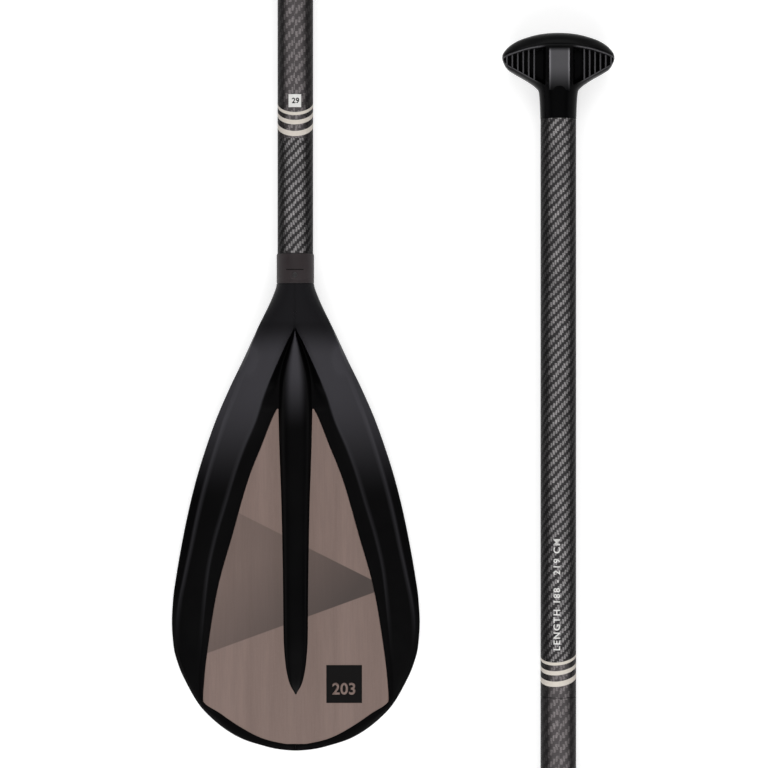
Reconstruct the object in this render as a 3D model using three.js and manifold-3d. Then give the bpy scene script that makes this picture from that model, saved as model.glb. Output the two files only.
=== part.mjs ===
// Five-piece travel paddle, taken apart into two lengths that lie side by side.
// Millimetres, +Z up, +Y along the shafts from the blade tip towards the hand.
import * as THREE from "three";
import { mergeVertices } from "three/addons/utils/BufferGeometryUtils.js";
import Module from "manifold-3d";

const wasm = await Module();
wasm.setup();

// ---------------------------------------------------------------- sizes
const gap = 0.3; // clearance between neighbouring pieces
const round = 40; // facets round a tube

const tubeDiameter = 29;
const tubeWall = 1.5;
const spigotWall = 1.4;
const lengthSpacing = 214.2; // between the two centre lines
const gripTop = 586.4; // palm end of the upper length, above the blade tip

const bladeThickness = 7;
const bladeEdge = 3;
const bevelWidth = 7;
const bladeDroop = 2.5; // degrees, the blade dips from the neck to the ground
const droopPivot = 347.7;
const recessDepth = 0.6;
const panelThickness = 1.3;
const spineFlatness = 0.62; // height of the spine over its half width

const neckTop = 382;
const collarLength = 24.4;
const collarProud = 0.75; // collar over the shaft
const sleeveLength = 16;
const sleeveWall = 0.9;
const spigotInNeck = 50;
const spigotInTube = 50;
const bladeButtonHeight = 6.9; // above the foot of the collar

const lowerTubeLength = 439.7;
const lowerPlugIn = 60; // how far the lower shaft enters the clamp tube
const buttonFromEnd = 30;
const plugFlange = 3;
const plugLength = 14;

const clampTubeLength = 450;
const clampTubeWall = 1.4;
const clampFromGripTop = 640;
const ferruleLength = 44;
const ferruleWall = 1.1;
const wiperLength = 6;
const clampLength = 34;
const clampWall = 2;
const slitWidth = 3;
const slitLength = 52;
const earPast = 5; // ear beyond the bolt
const earThickness = 5;
const boltOut = 6.5; // bolt outside the clamp ring
const boltRadius = 2.3;
const pinHeight = 12.4;
const pinRadius = 2;
const hubRadius = 4;
const knuckleGap = 7;
const leverWidth = 22;
const leverThickness = 2.6;
const leverStart = 42; // degrees round the tube
const leverEnd = 138;

const extensionLength = 470;
const handleEnd = 540; // lower end of the handle tube below the palm
const handleSpigotIn = 70;
const handleSpigotDown = 50;

const stemEnd = 70.1; // where the grip's stem meets the handle tube
const gripHalf = 16;
const gripPlug = 35;
const webDepth = 6.5;
const plateHalf = 8.5;
const plateHead = 14;
const plateFoot = 40;
const plateProud = 1.2;
const ribPitch = 4.4;
const ribWidth = 1.6;
const ribCount = 6;
const firstRib = 20.2;

const buttonRadius = 2.8;
const buttonProud = 0.4;
const springWidth = 6;
const springThickness = 0.8;
const springLength = 26;

// blade: distance from the tip, half width
const bladeEdgeStations = [
  [0, 0], [1.6, 18], [4.2, 28.1], [9, 43], [16.2, 56.1], [26, 68.5], [36.6, 78.6], [51.9, 87.9],
  [70.1, 96.2], [85, 100.1], [105, 101.6], [125, 100.4], [140.8, 98.2], [173.4, 92.5],
  [200, 86.6], [224.3, 81.4], [248, 73.1], [271.2, 65.3], [296.2, 54.2], [321, 42.2],
  [344.4, 31.9], [362, 22.5], [372, 18.2], [379.9, 15.6],
];
const recessStations = [
  [4.6, 0], [8, 20], [18.2, 46], [30, 64], [41, 77.4], [60, 76.6], [82.8, 75.2], [115, 73.4],
  [147.2, 70.6], [171, 66.5], [203.3, 57], [231.4, 48.5], [272, 32.4], [314, 16.3], [343, 1.5],
];
const panelStations = [
  [5, 0], [9.6, 24], [18.6, 44.2], [30.5, 62], [41.5, 76.2], [62, 74.6], [82.8, 72.4],
  [131, 64.5], [178, 51.4], [224.3, 38.2], [252, 27.2], [281, 15.2],
];
const spineStations = [
  [47.7, 0.6], [53, 3.4], [59, 5.7], [73, 8.1], [92, 9.45], [141, 10], [200, 11], [281, 13.5],
  [345, 13.6],
];
// neck: distance from the tip, share of the neck's radius
const neckStations = [
  [268, 0.526], [300, 0.803], [330, 0.987], [neckTop, 1],
];

// grip: half width, distance below the palm
const gripStations = [
  [0, 0], [12.1, 0.7], [25, 3.6], [34, 7], [41.9, 12.7], [45.5, 18.1], [45.8, 20.4],
  [44.7, 24.5], [41.1, 30.1], [36.2, 33.1], [27.3, 38.4], [19.4, 43.6], [15.8, 47.6], [14.8, 56],
];
const capLine = [
  [60, 22.8], [43.3, 19.2], [33.8, 16.3], [24.4, 13.8], [11.6, 12.1], [0, 11.8],
];
// rounding seen from the side: distance below the palm, half thickness
const crownStations = [
  [0, 0], [0.2, 3.7], [1.2, 8], [3, 11.5], [6, 14.3], [10, 15.6], [14, gripHalf],
  [60, gripHalf],
];
// rounding seen from the palm: half width, height
const wingStations = [
  [0, -gripHalf], [33, -gripHalf], [38.5, -14.6], [42.8, -11.3], [45.4, -6.4], [46, 0],
  [45.4, 6.4], [42.8, 11.3], [38.5, 14.6], [33, gripHalf], [0, gripHalf],
];
const webStations = [
  [11.2, 14.2], [24.4, 16], [33.8, 18.4], [40.8, 21], [41, 26], [36, 30], [26.6, 35.3],
  [18, 40], [11.2, 42.5],
];

// ---------------------------------------------------------------- derived
const tubeRadius = tubeDiameter / 2;
const boreRadius = tubeRadius - tubeWall;
const spigotRadius = boreRadius - gap;
const spigotBore = spigotRadius - spigotWall;
const holeRadius = buttonRadius + gap + 0.1;
const clampBore = tubeRadius + gap;
const clampTubeRadius = clampBore + clampTubeWall;
const ferruleBore = clampTubeRadius + gap;
const ferruleRadius = ferruleBore + ferruleWall;
const clampRadius = ferruleBore + clampWall;
const boltX = clampRadius + boltOut;
const earReach = boltX + earPast;
const collarRadius = tubeRadius + collarProud;
const neckRadius = collarRadius - 0.05;
const stemRadius = collarRadius + 0.45;
const collarTop = neckTop + collarLength;
const lowerTubeStart = collarTop + gap;
const lowerTubeTop = lowerTubeStart + lowerTubeLength;
const clampTop = gripTop - clampFromGripTop;
const clampBottom = clampTop - clampTubeLength;
const handleBottom = gripTop - handleEnd;
const extensionTop = handleBottom - gap;
const extensionBottom = extensionTop - extensionLength;

// ---------------------------------------------------------------- solids
function closed(geometry) {
  const bare = geometry.index ? geometry.toNonIndexed() : geometry.clone();
  bare.deleteAttribute("normal");
  bare.deleteAttribute("uv");
  const merged = mergeVertices(bare, 1e-4);
  const index = [];
  const all = merged.index.array;
  for (let i = 0; i < all.length; i += 3) {
    const [a, b, c] = [all[i], all[i + 1], all[i + 2]];
    if (a !== b && b !== c && c !== a) index.push(a, b, c);
  }
  if (volume(merged.attributes.position, index) < 0) index.reverse();
  merged.setIndex(index);
  return merged;
}

function volume(position, index) {
  const a = new THREE.Vector3();
  const b = new THREE.Vector3();
  const c = new THREE.Vector3();
  let sum = 0;
  for (let i = 0; i < index.length; i += 3) {
    a.fromBufferAttribute(position, index[i]);
    b.fromBufferAttribute(position, index[i + 1]);
    c.fromBufferAttribute(position, index[i + 2]);
    sum += a.dot(b.cross(c)) / 6;
  }
  return sum;
}

function solid(geometry) {
  const shape = closed(geometry);
  const mesh = new wasm.Mesh({
    numProp: 3,
    vertProperties: new Float32Array(shape.attributes.position.array),
    triVerts: new Uint32Array(shape.index.array),
  });
  return new wasm.Manifold(mesh);
}

function toGeometry(manifold) {
  const mesh = manifold.getMesh();
  const geometry = new THREE.BufferGeometry();
  const position = new THREE.BufferAttribute(new Float32Array(mesh.vertProperties), 3);
  geometry.setAttribute("position", position);
  geometry.setIndex(Array.from(mesh.triVerts));
  return geometry;
}

function cut(base, ...tools) {
  return tools.reduce((left, tool) => left.subtract(tool), base);
}

function join(base, ...others) {
  return others.reduce((sum, other) => sum.add(other), base);
}

// turned about Y from [radius, y] pairs, the last joined to the first
function turned(profile, facets = round) {
  const points = [...profile, profile[0]].map(([r, y]) => new THREE.Vector2(r, y));
  return new THREE.LatheGeometry(points, facets);
}

function pipe(outer, inner, from, to, facets = round) {
  return turned([[inner, from], [outer, from], [outer, to], [inner, to]], facets);
}

function rod(radius, from, to, facets = round) {
  return turned([[0, from], [radius, from], [radius, to], [0, to]], facets);
}

// rod standing along Z
function peg(radius, from, to, x, y, facets = 24) {
  const geometry = new THREE.CylinderGeometry(radius, radius, to - from, facets);
  return geometry.rotateX(Math.PI / 2).translate(x, y, (from + to) / 2);
}

function block(x0, x1, y0, y1, z0, z1) {
  const geometry = new THREE.BoxGeometry(x1 - x0, y1 - y0, z1 - z0);
  return geometry.translate((x0 + x1) / 2, (y0 + y1) / 2, (z0 + z1) / 2);
}

function points(pairs) {
  return pairs.map(([x, y]) => new THREE.Vector2(x, y));
}

// smooth curve through [y, half width] stations, as [x, y] points
function smooth(stations, steps) {
  const curve = new THREE.SplineCurve(points(stations.map(([y, x]) => [x, y])));
  return curve.getPoints(steps).map((p) => [Math.max(p.x, 0), p.y]);
}

function mirrored(right) {
  const left = right.filter(([x]) => x > 0).map(([x, y]) => [-x, y]).reverse();
  return new THREE.Shape(points([...right, ...left]));
}

function slab(shape, from, to) {
  const depth = to - from;
  return new THREE.ExtrudeGeometry(shape, { depth, bevelEnabled: false }).translate(0, 0, from);
}

function droop(geometry) {
  geometry.translate(0, -droopPivot, 0);
  geometry.rotateX(THREE.MathUtils.degToRad(bladeDroop));
  return geometry.translate(0, droopPivot, 0);
}

// ---------------------------------------------------------------- blade
const face = bladeThickness / 2;
const recessFloor = face - recessDepth;
const pocketFloor = recessFloor - panelThickness - gap;

function spineHalf(y) {
  const next = spineStations.findIndex(([at]) => at >= y);
  if (next < 1) return 0;
  const [y0, w0] = spineStations[next - 1];
  const [y1, w1] = spineStations[next];
  return w0 + ((w1 - w0) * (y - y0)) / (y1 - y0);
}

// inlay outline, open at the top round the spine and drawn in by inset
function panelShape(inset) {
  const top = panelStations[panelStations.length - 1][0] - 2 * inset;
  const arc = smooth(panelStations, 44).map(([x, y]) => [x - inset, y < 40 ? y + inset : y]);
  const outer = [[0, arc[0][1]], ...arc.slice(1).filter(([, y]) => y <= top)];
  const inner = [];
  for (let y = top; y > spineStations[0][0]; y -= 19) {
    inner.push([spineHalf(y) + 0.6 + inset, y]);
  }
  inner.push([0, spineStations[0][0] - 1 - inset]);
  return mirrored([...outer.filter(([x, y]) => x > spineHalf(y) + 0.8 + inset || y < 40), ...inner]);
}

function bladePlate() {
  const outline = mirrored(smooth(bladeEdgeStations, 60));
  const slope = (bladeThickness - bladeEdge) / 2;
  return new THREE.ExtrudeGeometry(outline, {
    depth: bladeEdge,
    bevelThickness: slope,
    bevelSize: bevelWidth,
    bevelOffset: -bevelWidth,
    bevelSegments: 1,
  }).translate(0, 0, -bladeEdge / 2);
}

function bladeFrame() {
  const recess = mirrored(smooth(recessStations, 44));
  const pocket = panelShape(0);
  const spine = turned([[0, 47.7], ...spineStations.map(([y, w]) => [w, y]), [0, 345]], 32);
  spine.scale(1, 1, spineFlatness);
  const neck = turned([[0, 268], ...neckStations.map(([y, r]) => [r * neckRadius, y]),
    [0, neckTop]]);
  let frame = cut(
    solid(droop(bladePlate())),
    solid(droop(slab(recess, recessFloor, face + 1))),
    solid(droop(slab(recess, -face - 1, -recessFloor))),
    solid(droop(slab(pocket, pocketFloor, face + 1))),
    solid(droop(slab(pocket, -face - 1, -pocketFloor))),
  );
  frame = join(frame, solid(droop(spine)), solid(neck));
  const sleeveBore = boreRadius + sleeveWall + gap;
  return cut(
    frame,
    solid(rod(boreRadius, neckTop - spigotInNeck - 1, neckTop + 1)),
    solid(rod(sleeveBore, neckTop - sleeveLength - gap, neckTop + 1)),
  );
}

function inlay(side) {
  const panel = slab(panelShape(gap), pocketFloor + gap, recessFloor);
  if (side < 0) panel.rotateY(Math.PI);
  return droop(panel);
}

function neckCollar() {
  const sleeve = boreRadius + sleeveWall;
  const foot = neckTop + gap;
  const ring = turned([
    [boreRadius, neckTop - sleeveLength], [sleeve, neckTop - sleeveLength], [sleeve, foot],
    [collarRadius, foot], [collarRadius, collarTop], [boreRadius, collarTop],
  ]);
  return cut(solid(ring), solid(peg(holeRadius, 5, collarRadius + 5, 0, bladeButtonY)));
}

// ---------------------------------------------------------------- tubes
const bladeButtonY = neckTop + bladeButtonHeight;
const shaftButtonY = lowerTubeTop - buttonFromEnd;
const clampButtonY = clampBottom + lowerPlugIn - buttonFromEnd;
const handleButtonY = handleBottom + buttonFromEnd;

function drilled(tube, y, side = 1) {
  return cut(solid(tube), solid(peg(holeRadius, side > 0 ? 5 : -25, side > 0 ? 25 : -5, 0, y)));
}

// end plug with a flange outside the tube and a skirt inside it
function endPlug(end, way) {
  const flange = end + way * plugFlange;
  const skirt = end - way * plugLength;
  const start = end + way * gap;
  return turned([
    [0, flange], [tubeRadius - 1, flange], [tubeRadius, flange - way], [tubeRadius, start],
    [spigotRadius, start], [spigotRadius, skirt], [spigotRadius - 2, skirt],
    [spigotRadius - 2, start], [0, start],
  ]);
}

// ---------------------------------------------------------------- snap clips
// one spring strip bent back on itself, its button standing through the wall
function snapClip(bore, reach) {
  const half = springThickness / 2;
  const rise = Math.sqrt(bore ** 2 - (springWidth / 2) ** 2) - gap - half;
  const bend = [
    [-5, rise], [springLength - 4, rise - 1.2], [springLength - 1, rise - 2.6],
    [springLength, rise - 5], [springLength - 1, rise - 7.4], [springLength - 4, rise - 8.8],
    [-8, -rise],
  ];
  const line = points(bend);
  const left = [];
  const right = [];
  line.forEach((at, i) => {
    const before = line[Math.max(i - 1, 0)];
    const after = line[Math.min(i + 1, line.length - 1)];
    const along = after.clone().sub(before).normalize();
    left.push(new THREE.Vector2(at.x - along.y * half, at.y + along.x * half));
    right.push(new THREE.Vector2(at.x + along.y * half, at.y - along.x * half));
  });
  const outline = new THREE.Shape([...left, ...right.reverse()]);
  const strip = slab(outline, -springWidth / 2, springWidth / 2);
  strip.rotateX(Math.PI / 2).rotateZ(Math.PI / 2);
  return join(
    solid(strip),
    solid(peg(buttonRadius, rise - half, reach - 0.8, 0, 0)),
    solid(peg(buttonRadius - 0.8, rise - half, reach, 0, 0)),
  );
}

// ---------------------------------------------------------------- clamp
const clampEnd = clampTop;
const clampStart = clampTop - clampLength;
const clampMiddle = (clampEnd + clampStart) / 2;

function clampTube() {
  const wide = slitWidth / 2;
  return cut(
    solid(pipe(clampTubeRadius, clampBore, clampBottom, clampTop)),
    solid(block(5, 25, clampTop - slitLength, clampTop + 1, -wide / 2, wide / 2)),
    solid(peg(holeRadius, 5, 25, 0, clampButtonY)),
  );
}

function clampBody() {
  const ring = solid(pipe(clampRadius, ferruleBore, clampStart, clampEnd));
  const inner = clampRadius - clampWall / 2;
  const ears = solid(
    block(inner - 2, earReach, clampMiddle - 13, clampMiddle + 13, -earThickness - slitWidth / 2,
      earThickness + slitWidth / 2),
  );
  return cut(
    join(ring, ears),
    solid(rod(ferruleBore, clampStart - 1, clampEnd + 1)),
    solid(block(5, earReach + 1, clampStart - 1, clampEnd + 1, -slitWidth / 2, slitWidth / 2)),
    solid(peg(boltRadius + gap, -20, 20, boltX, clampMiddle)),
  );
}

// rod along Y through the clamp's hinge line
function hingeRod(radius, width) {
  const half = width / 2;
  return rod(radius, clampMiddle - half, clampMiddle + half, 32).translate(boltX, 0, pinHeight);
}

function clampLever() {
  const inner = clampRadius + 1;
  const outer = inner + leverThickness;
  const arc = new THREE.Shape();
  const from = THREE.MathUtils.degToRad(leverStart);
  const to = THREE.MathUtils.degToRad(leverEnd);
  arc.absarc(0, 0, outer, from, to, false);
  arc.absarc(0, 0, inner, to, from, true);
  const half = leverWidth / 2;
  const arm = new THREE.ExtrudeGeometry(arc, {
    depth: leverWidth,
    bevelEnabled: false,
    curveSegments: 20,
  });
  arm.rotateX(Math.PI / 2).translate(0, clampMiddle + half, 0);
  const root = new THREE.Shape(points([
    [boltX, pinHeight - hubRadius + 0.8], [boltX + 0.5, pinHeight + hubRadius - 0.2],
    [outer * Math.cos(from + 0.12), outer * Math.sin(from + 0.12)],
    [inner * Math.cos(from + 0.12), inner * Math.sin(from + 0.12)],
    [inner * Math.cos(from), inner * Math.sin(from)],
  ]));
  const web = slab(root, -half, half).rotateX(Math.PI / 2).translate(0, clampMiddle, 0);
  const notch = block(boltX - 8, boltX + 8, clampMiddle - knuckleGap / 2,
    clampMiddle + knuckleGap / 2, 0, pinHeight + 6);
  return cut(
    join(solid(arm), solid(web), solid(hingeRod(hubRadius, leverWidth))),
    solid(notch),
    solid(hingeRod(pinRadius + gap, leverWidth + 2)),
  );
}

function tensionBolt() {
  const eye = hingeRod(hubRadius - 0.2, knuckleGap - 2 * gap);
  return cut(
    join(
      solid(peg(boltRadius, -earThickness - slitWidth / 2 - 5.5, pinHeight, boltX, clampMiddle)),
      solid(eye),
    ),
    solid(hingeRod(pinRadius + gap, knuckleGap + 2)),
  );
}

function tensionNut() {
  const top = -earThickness - slitWidth / 2 - gap;
  return cut(
    solid(peg(4.6, top - 4.5, top, boltX, clampMiddle, 12)),
    solid(peg(boltRadius + gap, top - 6, top + 1, boltX, clampMiddle)),
  );
}

// ---------------------------------------------------------------- grip
// front outline, cut to rounded side and end profiles
function gripBlank() {
  const outline = mirrored(gripStations.map(([x, d]) => [x, -d]));
  const side = mirrored(crownStations.map(([d, z]) => [z, -d]));
  const end = mirrored(wingStations);
  const front = solid(slab(outline, -gripHalf, gripHalf));
  const fromSide = solid(slab(side, -60, 60).rotateY(Math.PI / 2));
  const fromEnd = solid(slab(end, -2, 70).rotateX(Math.PI / 2));
  return front.intersect(fromSide).intersect(fromEnd);
}

function aboveCap(drop) {
  const right = [...capLine.map(([x, d]) => [x, -d - drop])].reverse();
  return slab(mirrored([...right, [60, 10], [0, 10]]), -30, 30);
}

// pocket left between the ribs of one wing: side -1 or 1 across, front -1 or 1 in depth
function webCutter(side, front) {
  const place = (geometry) => solid(geometry.scale(side, 1, front));
  const right = webStations.map(([x, d]) => [x, -d]);
  const deep = gripHalf - webDepth;
  let cutter = place(slab(new THREE.Shape(points(right)), deep, 30));
  for (let i = 0; i < ribCount; i += 1) {
    const x = firstRib + i * ribPitch;
    cutter = cutter.subtract(place(block(x - ribWidth / 2, x + ribWidth / 2, -60, 0, 0, 31)));
  }
  return cutter;
}

function gripBody() {
  const stem = turned([
    [0, -42], [stemRadius - 0.5, -44], [stemRadius, -48], [tubeRadius + 0.2, -stemEnd],
    [spigotRadius, -stemEnd],
    [spigotRadius, -stemEnd - gripPlug], [0, -stemEnd - gripPlug],
  ]);
  const bed = gripHalf - plateProud - gap;
  const seat = block(-plateHalf - gap, plateHalf + gap, -plateFoot - gap, -plateHead + gap,
    bed, 30);
  return cut(
    join(gripBlank(), solid(stem)),
    solid(aboveCap(gap)),
    webCutter(1, 1),
    webCutter(-1, 1),
    webCutter(1, -1),
    webCutter(-1, -1),
    solid(seat),
    solid(seat.clone().rotateY(Math.PI)),
  );
}

function palmCap() {
  return gripBlank().intersect(solid(aboveCap(0)));
}

function gripPlate(side) {
  const bed = gripHalf - plateProud;
  const plate = block(-plateHalf, plateHalf, -plateFoot, -plateHead, bed, bed + 2 * plateProud);
  return side < 0 ? plate.rotateY(Math.PI) : plate;
}

// ---------------------------------------------------------------- scene graph
const carbon = { color: 0x3a3838, roughness: 0.34, metalness: 0.1 };
const nylon = { color: 0x131314, roughness: 0.42, metalness: 0 };
const darkNylon = { color: 0x2a2728, roughness: 0.6, metalness: 0 };
const inlayPlastic = { color: 0x6f625b, roughness: 0.62, metalness: 0 };
const steel = { color: 0xb9bcc0, roughness: 0.3, metalness: 1 };
const black = { color: 0x0e0e0f, roughness: 0.5, metalness: 0 };

function node(name, shape, look, parent) {
  const geometry = shape.isBufferGeometry ? closed(shape) : toGeometry(shape);
  const flat = geometry.toNonIndexed();
  flat.computeVertexNormals();
  const mesh = new THREE.Mesh(flat, new THREE.MeshStandardMaterial({ ...look, name: `${name}_look` }));
  mesh.name = name;
  parent.add(mesh);
  return mesh;
}

function group(name, parent, y = 0) {
  const made = new THREE.Group();
  made.name = name;
  made.position.y = y;
  parent.add(made);
  return made;
}

const paddle = new THREE.Group();
paddle.name = "travel_paddle";
const lowerLength = group("lower_length", paddle);
const upperLength = group("upper_length", paddle);
upperLength.position.x = lengthSpacing;

const bladeSection = group("blade_section", lowerLength);
node("blade_frame", bladeFrame(), nylon, bladeSection);
node("blade_panel_front", inlay(1), inlayPlastic, bladeSection);
node("blade_panel_back", inlay(-1), inlayPlastic, bladeSection);
node("neck_collar", neckCollar(), darkNylon, bladeSection);

const lowerShaft = group("lower_shaft", lowerLength);
node("lower_tube", drilled(pipe(tubeRadius, boreRadius, lowerTubeStart, lowerTubeTop),
  shaftButtonY), carbon, lowerShaft);
node("lower_spigot", drilled(pipe(spigotRadius, spigotBore, neckTop - spigotInNeck,
  lowerTubeStart + spigotInTube), bladeButtonY), black, lowerShaft);
node("lower_end_plug", endPlug(lowerTubeTop, 1), darkNylon, lowerShaft);
const bladeClip = node("blade_clip", snapClip(spigotBore, collarRadius + buttonProud), steel,
  lowerShaft);
bladeClip.position.y = bladeButtonY;
const shaftClip = node("shaft_clip", snapClip(boreRadius, ferruleRadius + buttonProud), steel,
  lowerShaft);
shaftClip.position.y = shaftButtonY;
shaftClip.rotation.z = Math.PI;

const clampSection = group("clamp_section", upperLength);
node("clamp_tube", clampTube(), carbon, clampSection);
node("mouth_ferrule", drilled(pipe(ferruleRadius, ferruleBore, clampBottom, clampBottom
  + ferruleLength), clampButtonY), darkNylon, clampSection);
node("mouth_wiper", turned([[clampBore, clampTop + gap], [clampRadius, clampTop + gap],
  [clampRadius, clampTop + wiperLength - 2], [clampBore + 1, clampTop + wiperLength],
  [clampBore, clampTop + wiperLength]]), black, clampSection);
node("clamp_body", clampBody(), darkNylon, clampSection);
node("clamp_lever", clampLever(), darkNylon, clampSection);
node("lever_pin", hingeRod(pinRadius, leverWidth + 1.4), steel, clampSection);
node("tension_bolt", tensionBolt(), steel, clampSection);
node("tension_nut", tensionNut(), steel, clampSection);

const extension = group("extension", upperLength);
node("extension_tube", pipe(tubeRadius, boreRadius, extensionBottom, extensionTop), carbon,
  extension);
node("handle_spigot", drilled(pipe(spigotRadius, spigotBore, extensionTop - handleSpigotDown,
  handleBottom + handleSpigotIn), handleButtonY, -1), black, extension);
node("extension_end_plug", endPlug(extensionBottom, -1), darkNylon, extension);
const handleClip = node("handle_clip", snapClip(spigotBore, tubeRadius + buttonProud), steel,
  extension);
handleClip.position.y = handleButtonY;
handleClip.rotation.y = Math.PI;

const handleSection = group("handle_section", upperLength);
node("handle_tube", drilled(pipe(tubeRadius, boreRadius, handleBottom, gripTop - stemEnd - gap),
  handleButtonY, -1), carbon, handleSection);
const grip = group("grip", handleSection, gripTop);
node("grip_body", gripBody(), nylon, grip);
node("palm_cap", palmCap(), black, grip);
node("grip_plate_front", gripPlate(1), darkNylon, grip);
node("grip_plate_back", gripPlate(-1), darkNylon, grip);

// ground under the lowest point, centre of the outline at the origin
paddle.updateMatrixWorld(true);
const box = new THREE.Box3().setFromObject(paddle, true);
const middle = box.getCenter(new THREE.Vector3());
paddle.position.set(-middle.x, -middle.y, -box.min.z);
paddle.updateMatrixWorld(true);

export default paddle;
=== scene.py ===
"""Five-piece travel paddle lying as two lengths, dressed over its CAD frame."""
import math

import bmesh
import bpy
import numpy as np
from bpy.props import FloatProperty, IntProperty, PointerProperty, StringProperty
from bpy.types import Operator, Panel, PropertyGroup
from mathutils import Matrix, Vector


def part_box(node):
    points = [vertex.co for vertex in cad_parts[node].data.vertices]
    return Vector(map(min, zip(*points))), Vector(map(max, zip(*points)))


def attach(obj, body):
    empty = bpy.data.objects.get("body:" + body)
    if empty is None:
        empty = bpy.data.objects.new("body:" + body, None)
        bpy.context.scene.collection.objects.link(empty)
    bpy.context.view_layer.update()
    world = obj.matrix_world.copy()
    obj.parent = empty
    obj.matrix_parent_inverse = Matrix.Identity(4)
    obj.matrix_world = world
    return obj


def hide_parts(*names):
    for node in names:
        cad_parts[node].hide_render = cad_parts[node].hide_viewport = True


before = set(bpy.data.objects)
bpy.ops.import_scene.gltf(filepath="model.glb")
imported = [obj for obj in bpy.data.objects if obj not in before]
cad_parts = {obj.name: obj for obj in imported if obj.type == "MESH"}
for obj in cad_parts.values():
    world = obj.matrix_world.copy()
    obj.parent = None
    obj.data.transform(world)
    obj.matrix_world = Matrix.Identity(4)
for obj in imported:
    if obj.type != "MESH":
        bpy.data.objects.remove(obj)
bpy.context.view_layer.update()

bl_info = {
    "name": "Travel Paddle Dresser",
    "version": (1, 0, 0),
    "blender": (4, 5, 0),
    "location": "View3D > Sidebar > Paddle",
    "description": "Builds the surfaces, prints and studio of a five-piece travel paddle",
    "category": "Object",
}

MM = 0.001
DROOP = math.radians(2.5)  # the blade dips from the neck to the ground
PIVOT = 347.7  # where the dip starts, mm above the blade tip
SOFT_BEND = 30.0
CAMBER = 2.6  # the sides lie this much lower than the middle at the widest place
WIDEST = 101.5
SLEEVE_FOOT = 349  # the sleeve in the neck starts here, above the hollow's narrow top
LETTER_STRIP = 0.45  # letters are cut this fine before they are bent round a shaft

# blade: mm above the tip, half width in mm
EDGE = [
    (0, 0), (1.6, 18), (4.2, 28.1), (9, 43), (16.2, 56.1), (26, 68.5), (36.6, 78.6), (51.9, 87.9),
    (70.1, 96.2), (85, 100.1), (105, 101.5), (125, 100.4), (140.8, 98.2), (173.4, 92.5),
    (200, 86.9), (224.3, 80.7), (248, 73.3), (271.2, 65), (296.2, 54.2), (321, 42.2),
    (344.4, 31.4), (362, 22.8), (372, 18.4), (379.9, 15.6), (382, 15.3),
]
BEVEL = [
    (0, 1.2), (20, 2.2), (60, 3.2), (108, 4.4), (140.8, 6.8), (173.4, 8.2), (224.3, 8.3),
    (287.5, 6.3), (321, 2.9), (335, 1.2), (382, 0.6),
]
RIDGE = [
    (0, 0.2), (4.2, 12), (8, 31), (18.6, 49.5), (30.5, 66.2), (41.5, 79.2), (62, 79.4), (82.8, 77.6),
    (115, 74.8), (147.2, 71.4), (171, 66.5), (203.3, 57), (231.4, 48.5), (248, 42.5), (272, 32.4),
    (287.5, 27.7), (314, 16.3), (335, 6.5), (347.7, 0.8), (382, 0.6),
]
INLAY = [
    (5, 0), (6.4, 13), (9.6, 26), (18.6, 44.2), (30.5, 61.8), (41.5, 76.2), (62, 74.9),
    (82.8, 72.4), (131, 64.5), (178, 51.6), (224.3, 38.2), (252, 27.2), (281, 14.9),
]
SPINE = [
    (0, 0.1), (47, 0.12), (49.5, 1.6), (53, 3.6), (59, 5.7), (73, 8.1), (92, 9.4), (141, 9.9),
    (200, 11), (255, 12.8), (281, 13.3), (300, 12.6), (314, 10.6), (330, 5.6), (345, 0.6), (382, 0.4),
]
CREST = [
    (0, 2.4), (47, 2.4), (53, 3.3), (59, 4), (73, 5), (92, 6), (157, 6.6), (240, 8), (281, 9.4),
    (315, 11.4), (330, 11.8), (346, 12.9), (352, 14), (362, 14.5), (372, 14.8), (382, 15.2),
]
BACK_CREST = [
    (0, 2.4), (47, 2.6), (59, 4), (92, 6), (157, 6.6), (281, 9.4), (330, 12.6), (346, 13.7),
    (352, 14.1), (362, 14.5), (372, 14.8), (382, 15.2),
]
SWELL = [
    (0, 3.5), (170, 3.5), (230, 4.4), (270, 6.4), (300, 8.6), (330, 11.9), (346, 13.5), (352, 14),
    (366, 14.7), (382, 15.2),
]

# grip: mm below the palm, half width and half thickness in mm
GRIP_WIDTH = [
    (0, 0), (0.7, 12.1), (3.6, 25), (7, 34), (12.7, 41.9), (18.1, 45.5), (20.4, 45.8),
    (24.5, 44.7), (30.1, 41.1), (33.1, 36.6), (38.4, 27.3), (43.6, 19.6), (47.6, 16.1),
    (52, 15.5), (60, 15), (70, 14.7),
]
GRIP_DEPTH = [
    (0, 0), (1, 6.6), (3.6, 11.4), (7, 14), (12, 15.6), (18, 16), (36, 15.9), (48, 15.5), (60, 15),
    (70, 14.7),
]
POCKET_TOP = [(9, 12.6), (14, 13), (24.4, 14.6), (33.8, 17.2), (43.3, 20.4), (46, 22)]
POCKET_FOOT = [(9, 45), (18, 40.4), (26.6, 35.6), (36, 30.2), (41, 27.2), (44, 24.5), (46, 22)]


# ------------------------------------------------------------------ places
def centre(node):
    low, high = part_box(node)
    return (low + high) / 2


LEFT_X = centre("lower_tube").x / MM
RIGHT_X = centre("handle_tube").x / MM
AXIS_Z = centre("lower_tube").z / MM
TUBE_R = (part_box("lower_tube")[1].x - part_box("lower_tube")[0].x) / 2 / MM
COLLAR_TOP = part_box("neck_collar")[1].y / MM
TIP_Y = COLLAR_TOP - 406.4
PALM_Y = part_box("palm_cap")[1].y / MM


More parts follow.
